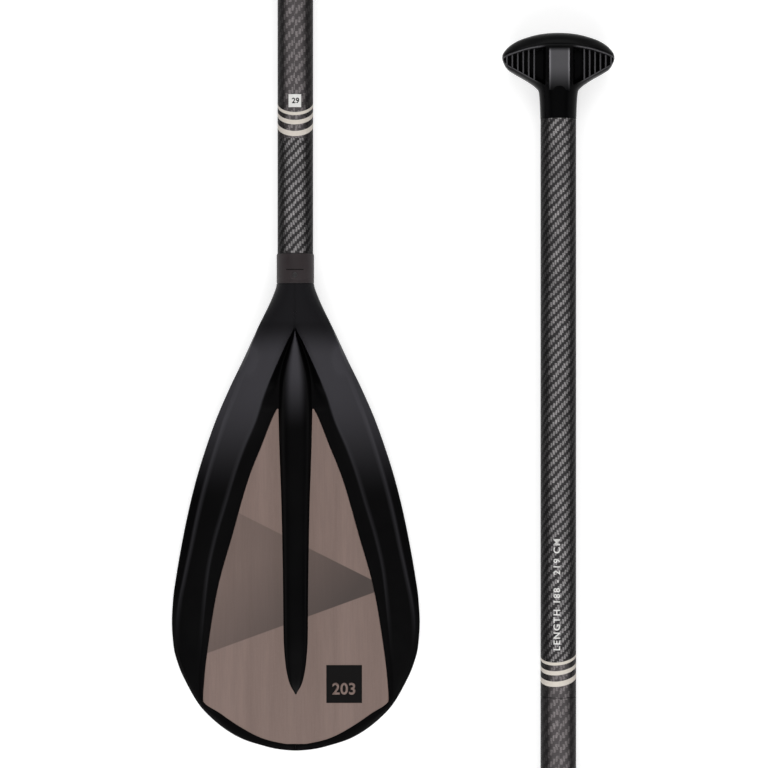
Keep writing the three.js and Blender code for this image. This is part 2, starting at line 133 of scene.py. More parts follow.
def smooth_table(pairs, power=1.0):
    """Monotone cubic curve through the pairs; power 2 gives a round nose where the width is 0."""
    x = np.array([p[0] for p in pairs], float)
    y = np.array([p[1] for p in pairs], float) ** power
    slope = np.diff(y) / np.diff(x)
    tangent = np.zeros(len(x))
    tangent[0], tangent[-1] = slope[0], slope[-1]
    for i in range(1, len(x) - 1):
        if slope[i - 1] * slope[i] > 0:
            tangent[i] = 2 * slope[i - 1] * slope[i] / (slope[i - 1] + slope[i])

    def value(at):
        at = np.clip(at, x[0], x[-1])
        i = np.clip(np.searchsorted(x, at, side="right") - 1, 0, len(x) - 2)
        h = x[i + 1] - x[i]
        t = (at - x[i]) / h
        y0, y1, m0, m1 = y[i], y[i + 1], tangent[i] * h, tangent[i + 1] * h
        out = y0 + m0 * t + (3 * (y1 - y0) - 2 * m0 - m1) * t**2 + (2 * (y0 - y1) + m0 + m1) * t**3
        return np.maximum(out, 0) ** (1 / power)

    return value


edge_at = smooth_table(EDGE, 2)
bevel_at = smooth_table(BEVEL)
ridge_at = smooth_table(RIDGE)
inlay_at = smooth_table(INLAY, 2)
spine_at = smooth_table(SPINE)
crest_at = smooth_table(CREST)
back_crest_at = smooth_table(BACK_CREST)
swell_at = smooth_table(SWELL)
grip_width_at = smooth_table(GRIP_WIDTH, 2)
grip_depth_at = smooth_table(GRIP_DEPTH, 2)
pocket_top_at = smooth_table(POCKET_TOP)
pocket_foot_at = smooth_table(POCKET_FOOT)


def step(low, high, value):
    t = np.clip((value - low) / (high - low), 0, 1)
    return t * t * (3 - 2 * t)


def dip(s):
    """Height lost at s mm above the tip, straight below the neck and eased into it."""
    from_end = PIVOT + SOFT_BEND - s
    eased = from_end**2 / (4 * SOFT_BEND)
    return -math.sin(DROOP) * np.where(s < PIVOT - SOFT_BEND, PIVOT - s, np.where(from_end > 0, eased, 0))


def camber(x, s):
    """How far the blade's sides fall away, x mm off the middle and s mm above the tip."""
    return CAMBER * min(s / 200, 1) * (x / WIDEST) ** 2


def blade_point(x, s, z):
    share = np.clip((PIVOT - s) / 60, 0, 1)
    y = TIP_Y + s + (1 - math.cos(DROOP)) * np.maximum(PIVOT - s, 0) - share * z * math.sin(DROOP)
    return (LEFT_X + x) * MM, y * MM, (AXIS_Z + dip(s) + z) * MM


# ------------------------------------------------------------------ meshes
def settings():
    return bpy.context.scene.paddle


def new_object(name, verts, faces, material, uvs=None, smooth=True, painted_sheen=None):
    mesh = bpy.data.meshes.new(name)
    mesh.from_pydata([tuple(v) for v in verts], [], faces)
    if uvs is not None:
        layer = mesh.uv_layers.new(name="weave")
        flat = [c for face in uvs for uv in face for c in uv]
        layer.data.foreach_set("uv", flat)
    mesh.materials.append(material)
    mesh.polygons.foreach_set("use_smooth", [smooth] * len(mesh.polygons))
    # painted highlight: these per-vertex values say how much painted highlight colour each point gets
    if painted_sheen is not None:
        mesh.attributes.new("painted_sheen", "FLOAT", "POINT").data.foreach_set("value", painted_sheen)
    obj = bpy.data.objects.new(name, mesh)
    bpy.context.scene.collection.objects.link(obj)
    return obj


def loft_faces(rows, size):
    """Quads between closed rows of vertices, and a cap on each end."""
    faces = []
    for i in range(rows - 1):
        for j in range(size):
            k = (j + 1) % size
            faces.append((i * size + j, i * size + k, (i + 1) * size + k, (i + 1) * size + j))
    faces.append(tuple(range(size)))
    faces.append(tuple((rows - 1) * size + j for j in reversed(range(size))))
    return faces


def face_out(obj):
    bm = bmesh.new()
    bm.from_mesh(obj.data)
    bmesh.ops.remove_doubles(bm, verts=bm.verts, dist=2e-6)
    bmesh.ops.dissolve_degenerate(bm, edges=bm.edges, dist=1e-6)
    bmesh.ops.recalc_face_normals(bm, faces=bm.faces)
    bm.to_mesh(obj.data)
    bm.free()
    return obj


def crease(obj, degrees=38):
    obj.data.set_sharp_from_angle(angle=math.radians(degrees))
    return obj


def dress(obj, body, slot, *nodes):
    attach(obj, body)
    if nodes:
        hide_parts(*nodes)
    return obj


def lathe(name, profile, axis_x, material, segments=96):
    """Closed ring profile of (radius, y) in mm turned about a shaft line, with a weave map in mm."""
    count = len(profile)
    verts = []
    for i in range(segments):
        a = 2 * math.pi * i / segments
        for r, y in profile:
            verts.append(((axis_x + r * math.sin(a)) * MM, y * MM, (AXIS_Z + r * math.cos(a)) * MM))
    faces, uvs = [], []
    arc = 2 * math.pi * TUBE_R / segments
    for i in range(segments):
        j = (i + 1) % segments
        for k in range(count):
            m = (k + 1) % count
            faces.append((i * count + k, j * count + k, j * count + m, i * count + m))
            left, right = i * arc, (i + 1) * arc
            uvs.append([(left, profile[k][1]), (right, profile[k][1]), (right, profile[m][1]),
                        (left, profile[m][1])])
    obj = new_object(name, verts, faces, material, uvs)
    bm = bmesh.new()
    bm.from_mesh(obj.data)
    bmesh.ops.recalc_face_normals(bm, faces=bm.faces)
    bm.to_mesh(obj.data)
    bm.free()
    return crease(obj, 25)


def pipe_profile(outer, inner, low, high, chamfer=0.35):
    return [
        (inner, low), (outer - chamfer, low), (outer, low + chamfer), (outer, high - chamfer),
        (outer - chamfer, high), (inner, high),
    ]


def node_span(node):
    low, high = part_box(node)
    return low.y / MM, high.y / MM


def softened(node, name, material, width=0.35, turn=30):
    """A copy of a CAD piece with its flats merged and its edges rounded."""
    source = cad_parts[node]
    mesh = source.data.copy()
    mesh.materials.clear()
    mesh.materials.append(material)
    obj = bpy.data.objects.new(name, mesh)
    bpy.context.scene.collection.objects.link(obj)
    bm = bmesh.new()
    bm.from_mesh(mesh)
    bmesh.ops.remove_doubles(bm, verts=bm.verts, dist=1e-6)
    bmesh.ops.dissolve_limit(bm, angle_limit=math.radians(1), verts=bm.verts, edges=bm.edges)
    bm.to_mesh(mesh)
    bm.free()
    bevel = obj.modifiers.new("round", "BEVEL")
    bevel.width = width * MM
    bevel.segments = 2
    bevel.limit_method = "ANGLE"
    bevel.angle_limit = math.radians(turn)
    bake(obj)
    obj.data.polygons.foreach_set("use_smooth", [True] * len(obj.data.polygons))
    return crease(obj, 32)


def bake(obj):
    """Replaces the mesh by its modified shape and drops the modifiers."""
    graph = bpy.context.evaluated_depsgraph_get()
    mesh = bpy.data.meshes.new_from_object(obj.evaluated_get(graph))
    obj.modifiers.clear()
    old = obj.data
    obj.data = mesh
    bpy.data.meshes.remove(old)
    return obj


# ------------------------------------------------------------------ materials
def material(name, colour, roughness, metallic=0.0, coat=0.0, specular=0.5):
    mat = bpy.data.materials.new(name)
    mat.use_nodes = True
    shader = mat.node_tree.nodes["Principled BSDF"]
    shader.inputs["Base Color"].default_value = (*colour, 1)
    shader.inputs["Roughness"].default_value = roughness
    shader.inputs["Metallic"].default_value = metallic
    shader.inputs["Coat Weight"].default_value = coat
    shader.inputs["Coat Roughness"].default_value = 0.12
    shader.inputs["Specular IOR Level"].default_value = specular
    return mat, mat.node_tree, shader


def link(tree, source, target):
    tree.links.new(source, target)


def math_node(tree, operation, a, b=None, clamp=False):
    node = tree.nodes.new("ShaderNodeMath")
    node.operation = operation
    node.use_clamp = clamp
    for socket, value in zip(node.inputs, (a, b)):
        if value is None:
            continue
        if isinstance(value, (int, float)):
            socket.default_value = value
        else:
            link(tree, value, socket)
    return node.outputs[0]


def noise(tree, vector, scale, detail=3.0):
    node = tree.nodes.new("ShaderNodeTexNoise")
    node.inputs["Scale"].default_value = scale
    node.inputs["Detail"].default_value = detail
    link(tree, vector, node.inputs["Vector"])
    return node.outputs["Fac"]


def mix_colour(tree, factor, first, second):
    node = tree.nodes.new("ShaderNodeMix")
    node.data_type = "RGBA"
    link(tree, factor, node.inputs["Factor"])
    for socket, value in zip((node.inputs[6], node.inputs[7]), (first, second)):
        if isinstance(value, tuple):
            socket.default_value = (*value, 1)
        else:
            link(tree, value, socket)
    return node.outputs[2]


def map_range(tree, value, low, high, to_low, to_high):
    node = tree.nodes.new("ShaderNodeMapRange")
    link(tree, value, node.inputs["Value"])
    for key, number in zip(("From Min", "From Max", "To Min", "To Max"), (low, high, to_low, to_high)):
        node.inputs[key].default_value = number
    return node.outputs[0]


def bump(tree, shader, height, strength, distance):
    node = tree.nodes.new("ShaderNodeBump")
    node.inputs["Strength"].default_value = strength
    node.inputs["Distance"].default_value = distance
    link(tree, height, node.inputs["Height"])
    link(tree, node.outputs[0], shader.inputs["Normal"])


def object_axes(tree):
    where = tree.nodes.new("ShaderNodeTexCoord").outputs["Object"]
    split = tree.nodes.new("ShaderNodeSeparateXYZ")
    link(tree, where, split.inputs[0])
    return where, split.outputs


def moulded(name, colour, roughness, grain=0.12, specular=0.5, tone=0.25, painted_sheen_colour=None):
    """Moulded plastic: fine pebbled grain, clouding, and a painted highlight colour mixed in by the mesh's
    per-vertex highlight attribute.
    """
    mat, tree, shader = material(name, colour, roughness, specular=specular)
    where, _ = object_axes(tree)
    cloud = noise(tree, where, 38, 4)
    pebble = noise(tree, where, 2600, 2)
    light = tuple(c * (1 + tone) for c in colour)
    dark = tuple(c * (1 - tone) for c in colour)
    base = mix_colour(tree, cloud, dark, light)
    if painted_sheen_colour:
        # painted highlight: the base colour moves towards the given highlight colour by the mesh's
        # per-vertex amount
        carried = tree.nodes.new("ShaderNodeAttribute")
        carried.attribute_name = "painted_sheen"
        base = mix_colour(tree, carried.outputs["Fac"], base, painted_sheen_colour)
    link(tree, base, shader.inputs["Base Color"])
    link(tree, map_range(tree, cloud, 0.3, 0.7, roughness - 0.05, roughness + 0.07),
         shader.inputs["Roughness"])
    bump(tree, shader, pebble, grain, 0.00012)
    return mat


def twill(name, sharp, bright, tow, blur):
    """Twill weave, two over and two under, with a painted highlight strip along the shaft's top and
    underside and painted shade down its sides.
    """
    mat, tree, shader = material(name, (0.05, 0.05, 0.05), 0.38, specular=0.04)
    uv = tree.nodes.new("ShaderNodeUVMap")
    uv.uv_map = "weave"
    split = tree.nodes.new("ShaderNodeSeparateXYZ")
    link(tree, uv.outputs[0], split.inputs[0])
    waver = noise(tree, uv.outputs[0], 0.14, 2)
    shift = map_range(tree, waver, 0.3, 0.7, -0.35, 0.35)
    across = math_node(tree, "ADD", math_node(tree, "DIVIDE", split.outputs[0], tow), shift)
    along = math_node(tree, "DIVIDE", split.outputs[1], tow)
    column = math_node(tree, "FLOOR", across)
    row = math_node(tree, "FLOOR", along)
    turn = math_node(tree, "MODULO", math_node(tree, "ADD", math_node(
        tree, "SUBTRACT", row, column), 4000), 4)
    over = math_node(tree, "LESS_THAN", turn, 1.5)
    in_column = math_node(tree, "FRACT", across)
    in_row = math_node(tree, "FRACT", along)
    crown_a = math_node(tree, "SINE", math_node(tree, "MULTIPLY", in_column, math.pi))
    crown_b = math_node(tree, "SINE", math_node(tree, "MULTIPLY", in_row, math.pi))
    crown = mix_value(tree, over, crown_b, crown_a)
    fleck = noise(tree, uv.outputs[0], 1.3, 3)
    fleck = map_range(tree, fleck, 0.38, 0.62, 0.45, 1.0)
    weave = math_node(tree, "MULTIPLY", mix_value(tree, over, 0.12, 1.0), fleck)
    weave = math_node(tree, "MULTIPLY", weave, math_node(tree, "POWER", crown, 0.6))
    soft = map_range(tree, noise(tree, uv.outputs[0], 0.055, 2), 0.35, 0.65, 0.75, 1.15)
    weave = math_node(tree, "MULTIPLY", weave, soft)
    weave = math_node(tree, "ADD", math_node(tree, "MULTIPLY", weave, 1 - blur), 0.42 * blur, True)
    dark = (0.018, 0.017, 0.018)
    # painted highlight and shade: the real weave pattern shows at full brightness, a painted reflection,
    # only where the shaft faces straight up or down; the sides fade to a painted near-black shade
    angle = math_node(tree, "DIVIDE", split.outputs[0], TUBE_R)
    crest = math_node(tree, "ABSOLUTE", math_node(tree, "COSINE", angle))
    painted_strip = map_range(tree, crest, 0.76, 0.95, 0.15, 1)
    base = mix_colour(tree, painted_strip, (0.0035, 0.0033, 0.0034), mix_colour(tree, weave, dark, bright))
    link(tree, base, shader.inputs["Base Color"])
    link(tree, map_range(tree, weave, 0, 1, 0.42, 0.32), shader.inputs["Roughness"])
    bump(tree, shader, crown, sharp, 0.00008)
    return mat


def mix_value(tree, factor, first, second):
    node = tree.nodes.new("ShaderNodeMix")
    node.data_type = "FLOAT"
    link(tree, factor, node.inputs["Factor"])
    for socket, value in zip((node.inputs[2], node.inputs[3]), (first, second)):
        if isinstance(value, (int, float)):
            socket.default_value = value
        else:
            link(tree, value, socket)
    return node.outputs[0]


def inlay_print(name):
    """Warm grey inlay with a printed wedge that darkens towards its point."""
    mat, tree, shader = material(name, (0.2, 0.15, 0.13), 0.5, specular=0.35)
    where, axes = object_axes(tree)
    x = math_node(tree, "SUBTRACT", math_node(tree, "MULTIPLY", axes[0], 1000), LEFT_X)
    s = math_node(tree, "SUBTRACT", math_node(tree, "MULTIPLY", axes[1], 1000), TIP_Y)
    top = math_node(tree, "SUBTRACT", 171.9, math_node(tree, "MULTIPLY", x, 0.5037))
    foot = math_node(tree, "ADD", 106.8, math_node(tree, "MULTIPLY", x, 0.3653))
    under = map_range(tree, math_node(tree, "SUBTRACT", top, s), -0.3, 0.3, 0, 1)
    above = map_range(tree, math_node(tree, "SUBTRACT", s, foot), -0.3, 0.3, 0, 1)
    wedge = math_node(tree, "MULTIPLY", under, above)
    towards_point = map_range(tree, x, -60, 58, 0.5, 0.98)
    towards_foot = map_range(tree, math_node(tree, "SUBTRACT", s, foot), 0, 60, 0.1, -0.22)
    depth = math_node(tree, "ADD", towards_point, towards_foot)
    wedge = math_node(tree, "MULTIPLY", wedge, depth, True)
    stretch = tree.nodes.new("ShaderNodeMapping")
    stretch.inputs["Scale"].default_value = (1, 0.02, 1)
    link(tree, where, stretch.inputs["Vector"])
    streak = noise(tree, stretch.outputs[0], 900, 3)
    wide = noise(tree, stretch.outputs[0], 70, 2)
    speck = noise(tree, where, 1400, 2)
    base = mix_colour(tree, map_range(tree, wide, 0.3, 0.7, 0, 1), (0.188, 0.13, 0.111),
                      (0.228, 0.16, 0.139))
    tone = mix_colour(tree, map_range(tree, streak, 0.35, 0.65, 0, 0.16), base, (0.1, 0.075, 0.065))
    tone = mix_colour(tree, map_range(tree, speck, 0.55, 0.7, 0, 0.12), tone, (0.32, 0.26, 0.23))
    tone = mix_colour(tree, wedge, tone, (0.062, 0.045, 0.04))
    link(tree, tone, shader.inputs["Base Color"])
    bump(tree, shader, speck, 0.1, 0.0001)
    return mat


def ink(name, colour):
    """Printed ink with a little wear."""
    mat, tree, shader = material(name, colour, 0.42, specular=0.1)
    where, _ = object_axes(tree)
    wear = map_range(tree, noise(tree, where, 420, 4), 0.3, 0.7, 0, 0.3)
    link(tree, mix_colour(tree, wear, colour, tuple(c * 0.78 for c in colour)),
         shader.inputs["Base Color"])
    return mat


def brushed(name):
    mat, tree, shader = material(name, (0.55, 0.55, 0.56), 0.3, metallic=1.0)
    where, _ = object_axes(tree)
    grain = noise(tree, where, 900, 4)
    link(tree, map_range(tree, grain, 0.3, 0.7, 0.24, 0.4), shader.inputs["Roughness"])
    bump(tree, shader, grain, 0.1, 0.0001)
    return mat


LOOKS = {}


def make_looks():
    LOOKS.update(
        crisp=twill("twill_crisp", 0.5, (0.43, 0.41, 0.415), settings().tow_width, 0.0),
        soft=twill("twill_soft", 0.25, (0.36, 0.325, 0.33), settings().tow_width * 1.25, 0.4),
        # the last colour given to the blade nylon and the grip nylon is a painted highlight colour
        nylon=moulded("black_nylon", (0.0014, 0.0013, 0.0015), 0.34, 0.1, 0.05, 0.25, (0.052, 0.05, 0.057)),
        head=moulded("grip_nylon", (0.0016, 0.0016, 0.0018), 0.26, 0.06, 0.04, 0.25, (0.24, 0.235, 0.25)),
        collar=moulded("collar_grey", (0.031, 0.0245, 0.026), 0.5, 0.16, 0.2),
        dark=moulded("sleeve_black", (0.012, 0.012, 0.012), 0.45, 0.1),
        clip=moulded("clip_black", (0.016, 0.014, 0.015), 0.35, 0.05),
        inlay=inlay_print("inlay_taupe"),
        cream=ink("ink_cream", (0.76, 0.7, 0.63)),
        white=ink("ink_white", (0.86, 0.85, 0.83)),
        label=ink("ink_black", (0.003, 0.0026, 0.0026)),
        steel=brushed("brushed_steel"),
    )


# ------------------------------------------------------------------ settings
class PaddleSettings(PropertyGroup):
    """Sizes that drive the dressed surfaces."""

    tube_facets: IntProperty(
        name="Tube facets", description="Facets round each shaft", default=128, min=32, max=256)
    tow_width: FloatProperty(
        name="Tow width", description="Width of one carbon tow, in millimetres", default=1.9,
        min=0.5, max=6.0)
    row_step: FloatProperty(
        name="Row step", description="Spacing of the blade's cross sections, in millimetres",
        default=2.0, min=0.5, max=8.0)
    hoop_tilt: FloatProperty(
        name="Hoop tilt", description="How far the printed hoops climb round the shaft, in millimetres",
        default=9.0, min=0.0, max=15.0)
    rib_count: IntProperty(
        name="Ribs", description="Ribs in each hollow of the grip", default=6, min=1, max=12)
    rib_pitch: FloatProperty(
        name="Rib pitch", description="Spacing of the grip's ribs", default=4.4 * MM,
        min=0.001, max=0.02, subtype="DISTANCE", unit="LENGTH")
    shaft_text: StringProperty(
        name="Shaft text", description="Plain range printed along the upper shaft",
        default="LENGTH 188 - 219 CM")
    camera_height: FloatProperty(
        name="Camera height", description="Camera above the shaft lines", default=2.346,
        min=0.5, max=10.0, subtype="DISTANCE", unit="LENGTH")


# ------------------------------------------------------------------ blade
def blade_rows():
    nose = [12 * (1 - math.cos(math.pi / 2 * i / 12)) for i in range(1, 12)]
    count = int((382 - 12) / settings().row_step)
    return np.array([0.02] + nose + list(np.linspace(12, 382, count)))


def frame_surface(s, side):
    """Right half of one cross section of the moulded frame, from the middle out to the rim."""
    edge = float(edge_at(s))
    bevel = edge - min(float(bevel_at(s)), edge * 0.4)
    ridge = min(float(ridge_at(s)), bevel * 0.985)
    spine = min(float(spine_at(s)), ridge * 0.8)
    has_inlay = 5.2 < s < 281
    inlay = float(inlay_at(s)) if has_inlay else spine * 1.05
    inlay = min(max(inlay, spine * 1.02), ridge * 0.97)
    crest = float((crest_at if side > 0 else back_crest_at)(s))
    swell = float(swell_at(s))
    thin = 1 - float(step(352, 380, s))
    floor = 1.5 if has_inlay else 2.2
    groove = 2.1 if has_inlay else 2.2 + 0.5 * float(step(25, 0, s))

    def face(x):
        across = max(1 - (x / edge) ** 2, 0)
        flat = 0.2 + 3.3 * thin - 1.0 * float(step(70, 0, s))
        return flat * across ** (0.5 * (1 - thin)) + (swell - flat) * across**0.5 * float(
            step(170, 330, s))

    out = []
    for i in range(9):
        t = i / 9
        out.append((spine * t, 2.4 + (crest - 2.4) * (1 - t**2.2) ** 0.62))
    out.append((spine, 2.4))
    for i in range(1, 7):
        t = i / 6
        out.append((spine + 0.25 + (inlay - spine - 0.25) * t, floor))
    if s < 47.7:
        out = [(x, floor) for x, _ in out]
    out.append((inlay + min(0.05, (ridge - inlay) * 0.1), groove))
    out.append((inlay + min(0.7, (ridge - inlay) * 0.3), groove))
    foot = out[-1][0]
    for i in range(1, 8):
        t = i / 7
        rise = 0.25 * t + 0.75 * t**1.6
        out.append((foot + (ridge - foot) * t, groove + (face(ridge) - groove) * rise))
    for i in range(1, 8):
        x = ridge + (bevel - ridge) * i / 7
        crown = 0.5 * math.sin(math.pi * i / 7) * min(1, (bevel - ridge) / 10, s / 60) * thin
        out.append((x, face(x) + crown))
    low = min(1.3, face(bevel))
    for i in range(1, 5):
        t = i / 4
        out.append((bevel + (edge - bevel) * 0.94 * t, face(bevel) + (low - face(bevel)) * t))
    out.append((edge * 0.994, low * 0.62))
    out.append((edge, 0.0))
    round_neck = float(step(339.5, 346.5, s)) if side > 0 else float(step(262, 330, s))
    done = []
    for x, z in out:
        if round_neck > 0:
            target = max(face(x), 0)
            if side < 0:
                hump = crest * math.sqrt(max(1 - (x / 19) ** 2, 0)) if x < 19 else 0
                target = min((target**3 + hump**3) ** (1 / 3), max(crest, target))
            if s > 366:
                ring = crest * math.sqrt(max(1 - (x / edge) ** 2, 0))
                target += (ring - target) * float(step(366, 380, s))
            z += (target - z) * round_neck
        fall = camber(x, s) * (1 - float(step(300, 350, s)))
        # painted highlights, returned as the fourth value: the upper band outside the ridges, the spine's
        # crest, the neck, a spot on each shoulder and thin lines along the bevel and the ridge
        band = float(step(205, 300, s)) * float(step(ridge - 0.6, ridge + 0.4, x))
        top = float(step(262, 318, s)) * float(step(spine * 0.75, spine * 0.2, x)) if spine > 1 else 0
        neck = 0.2 * float(step(342, 352, s))
        band *= 1 - float(step(322, 350, s)) * 0.8
        facet_highlight = math.exp(-((s - 322) / 9) ** 2 - ((x - 38) / 5) ** 2)
        edge_highlights = math.exp(-((x - bevel) / 0.8) ** 2) + 0.7 * math.exp(-((x - ridge) / 0.5) ** 2)
        edge_highlights *= 0.4 * float(step(70, 150, s)) * float(step(335, 300, s))
        done.append((x, z, fall, min(max(band * 0.85, top, neck) + facet_highlight + edge_highlights, 1.6)))
    return done


def build_frame():
    rows = blade_rows()
    verts, painted_sheen = [], []
    for s in rows:
        front = frame_surface(float(s), 1)
        back = frame_surface(float(s), -1)
        loop = [(-x, z - f, tone) for x, z, f, tone in front[:0:-1]]
        loop += [(x, z - f, tone) for x, z, f, tone in front]
        under = [(x, -z - f, tone) for x, z, f, tone in back[-2::-1]]
        loop += under + [(-x, z, tone) for x, z, tone in under[-2::-1]]
        for x, z, tone in loop:
            verts.append(blade_point(x, s, z))
            painted_sheen.append(tone)
    faces = loft_faces(len(rows), len(verts) // len(rows))
    obj = face_out(new_object("blade_frame_skin", verts, faces, LOOKS["nylon"], painted_sheen=painted_sheen))
    return crease(obj, 40)


def build_inlay(side):
    """Thin printed plate round the spine, on the face for side 1 and on the back for -1."""
    rows = [5.6 + 12 * (1 - math.cos(math.pi / 2 * i / 10)) for i in range(10)]
    rows += list(np.linspace(18, 46.2, 15)) + list(np.linspace(46.6, 280.2, 118))
    top, bottom = 2.8, 1.6
    grids = []
    for hand in (1, -1):
        grid = []
        for s in rows:
            outer = float(inlay_at(s)) - 0.28
            inner = 0.0 if s < 46.4 else float(spine_at(s)) + 0.5
            inner = min(inner, outer - 0.05)
            span = outer - inner
            rim = min(0.35, span * 0.3)
            stops = [outer - rim] + [outer - rim - (span - rim) * t / 8 for t in range(1, 9)]
            row = [(outer, bottom), (outer, top - 0.3)] + [(x, top) for x in stops]
            row += [(inner, bottom)]
            fall = [camber(x, s) for x, _ in row]
            grid.append([
                blade_point(hand * x, s, side * z - f) for (x, z), f in zip(row, fall)])
        grids.append(grid)
    verts, faces = [], []
    for grid in grids:
        base = len(verts)
        size = len(grid[0])
        for row in grid:
            verts.extend(row)
        for i in range(len(grid) - 1):
            for j in range(size):
                if j == size - 2 and rows[i + 1] < 46.4:
                    continue
                k = (j + 1) % size
                a, b = base + i * size, base + (i + 1) * size
                faces.append((a + j, a + k, b + k, b + j))
        faces.append(tuple(base + j for j in range(size)))
        last = base + (len(grid) - 1) * size
        faces.append(tuple(last + j for j in reversed(range(size))))
    name = "inlay_front" if side > 0 else "inlay_back"
    obj = new_object(name, verts, faces, LOOKS["inlay"])
    return crease(face_out(obj), 30)


class PADDLE_OT_blade(Operator):
    """Loft the moulded blade frame with its spine, ridges and neck"""

    bl_idname = "paddle.blade"
    bl_label = "Blade Frame"

    def execute(self, context):
        dress(build_frame(), "blade_section", "black_nylon", "blade_frame")
        return {"FINISHED"}


class PADDLE_OT_inlays(Operator):
    """Lay the printed plates into the blade's face and back"""

    bl_idname = "paddle.inlays"
    bl_label = "Printed Inlays"

    def execute(self, context):
        dress(build_inlay(1), "blade_section", "inlay_taupe", "blade_panel_front")
        dress(build_inlay(-1), "blade_section", "inlay_taupe", "blade_panel_back")
        return {"FINISHED"}


class PADDLE_OT_collar(Operator):
    """Turn the neck collar with its parting line, and fit its snap button"""

    bl_idname = "paddle.collar"
    bl_label = "Neck Collar"

    def execute(self, context):
        low, high = node_span("neck_collar")
        foot = high - 24.1
        profile = [
            (13, low), (13.9, low), (13.9, foot), (14.9, foot), (15.25, foot + 0.5),
            (15.25, foot + 3), (15.15, foot + 3.3), (15.25, foot + 3.6), (15.25, high - 1.2),
            (14.95, high - 0.2), (14.6, high), (13, high),
        ]
        ring = lathe("collar_ring", profile, LEFT_X, LOOKS["collar"], settings().tube_facets)
        dress(ring, "blade_section", "collar_grey", "neck_collar")
        mark = curved_patch("collar_mark", LEFT_X, 15.25, foot + 10.6, foot + 11.3, 7.2,
                            LOOKS["label"])
        dress(mark, "blade_section", "black_sleeve")
        dress(softened("blade_clip", "blade_snap", LOOKS["clip"], 0.2), "blade_button", "clip_black",
              "blade_clip")
        return {"FINISHED"}


# ------------------------------------------------------------------ shafts
def tube(name, node, axis_x, look, body, bore=13.0):
    low, high = node_span(node)
    radius = (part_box(node)[1].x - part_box(node)[0].x) / 2 / MM
    obj = lathe(name, pipe_profile(radius, bore, low, high), axis_x, LOOKS[look],
                settings().tube_facets)
    return dress(obj, body, "carbon_tube", node)


class PADDLE_OT_shafts(Operator):
    """Turn the carbon shafts and the plain sleeves inside their joints"""

    bl_idname = "paddle.shafts"
    bl_label = "Carbon Shafts"

    def execute(self, context):
        low, high = node_span("lower_tube")
        turn = TIP_Y + 500
        facets = settings().tube_facets
        crisp = lathe("lower_shaft_crisp", pipe_profile(TUBE_R, 13, low, turn, 0.02), LEFT_X,
                      LOOKS["crisp"], facets)
        dress(crisp, "lower_shaft", "carbon_tube", "lower_tube")
        soft = lathe("lower_shaft_soft", pipe_profile(TUBE_R, 13, turn, high, 0.02), LEFT_X,
                     LOOKS["soft"], facets)
        dress(soft, "lower_shaft", "carbon_tube")
        low, high = node_span("handle_tube")
        turn = PALM_Y - 512
        crisp = lathe("upper_shaft_crisp", pipe_profile(TUBE_R, 13, turn, high, 0.02), RIGHT_X,
                      LOOKS["crisp"], facets)
        dress(crisp, "handle_section", "carbon_tube", "handle_tube")
        soft = lathe("upper_shaft_soft", pipe_profile(TUBE_R, 13, low, turn, 0.02), RIGHT_X,
                     LOOKS["soft"], facets)
        dress(soft, "handle_section", "carbon_tube")
        tube("extension_shaft", "extension_tube", RIGHT_X, "soft", "extension")
        tube("clamp_shaft", "clamp_tube", RIGHT_X, "soft", "clamp_section", 14.8)
        for node, x, body in (("lower_spigot", LEFT_X, "lower_shaft"),
                              ("handle_spigot", RIGHT_X, "extension")):
            low, high = node_span(node)
            low = max(low, TIP_Y + SLEEVE_FOOT) if body == "lower_shaft" else low
            sleeve = lathe(node + "_sleeve", pipe_profile(12.7, 11.3, low, high, 0.5), x,
                           LOOKS["dark"], 64)
            dress(sleeve, body, "black_sleeve", node)
        return {"FINISHED"}


# ------------------------------------------------------------------ prints
def curved_patch(name, axis_x, radius, low, high, half, look, lift=0.06):
    """Thin closed patch of print wrapped on a shaft, half mm each side of the middle."""
    verts, faces = [], []
    count = 16
    for i in range(count + 1):
        angle = (2 * i / count - 1) * half / radius
        for r, y in ((radius - 0.02, low), (radius + lift, low), (radius + lift, high),
                     (radius - 0.02, high)):
            verts.append(((axis_x + r * math.sin(angle)) * MM, y * MM,
                          (AXIS_Z + r * math.cos(angle)) * MM))
    for i in range(count):
        for k in range(4):
            m = (k + 1) % 4
            faces.append((i * 4 + k, i * 4 + m, (i + 1) * 4 + m, (i + 1) * 4 + k))
    faces.append((0, 1, 2, 3))
    faces.append((count * 4 + 3, count * 4 + 2, count * 4 + 1, count * 4))
    return crease(face_out(new_object(name, verts, faces, look)), 30)


def hoop(name, axis_x, low, high, tilt, turn, look):
    """Printed hoop that climbs by tilt towards its sides, turned round the shaft by an angle."""
    segments = 96
    verts, faces = [], []
    for i in range(segments):
        a = 2 * math.pi * i / segments
        rise = tilt * (1 - math.cos(a - turn))
        for r, y in ((TUBE_R - 0.02, low), (TUBE_R + 0.06, low), (TUBE_R + 0.06, high),
                     (TUBE_R - 0.02, high)):
            verts.append(((axis_x + r * math.sin(a)) * MM, (y + rise) * MM,
                          (AXIS_Z + r * math.cos(a)) * MM))
    for i in range(segments):
        j = (i + 1) % segments
        for k in range(4):
            m = (k + 1) % 4
            faces.append((i * 4 + k, i * 4 + m, j * 4 + m, j * 4 + k))
    return crease(face_out(new_object(name, verts, faces, look)), 30)


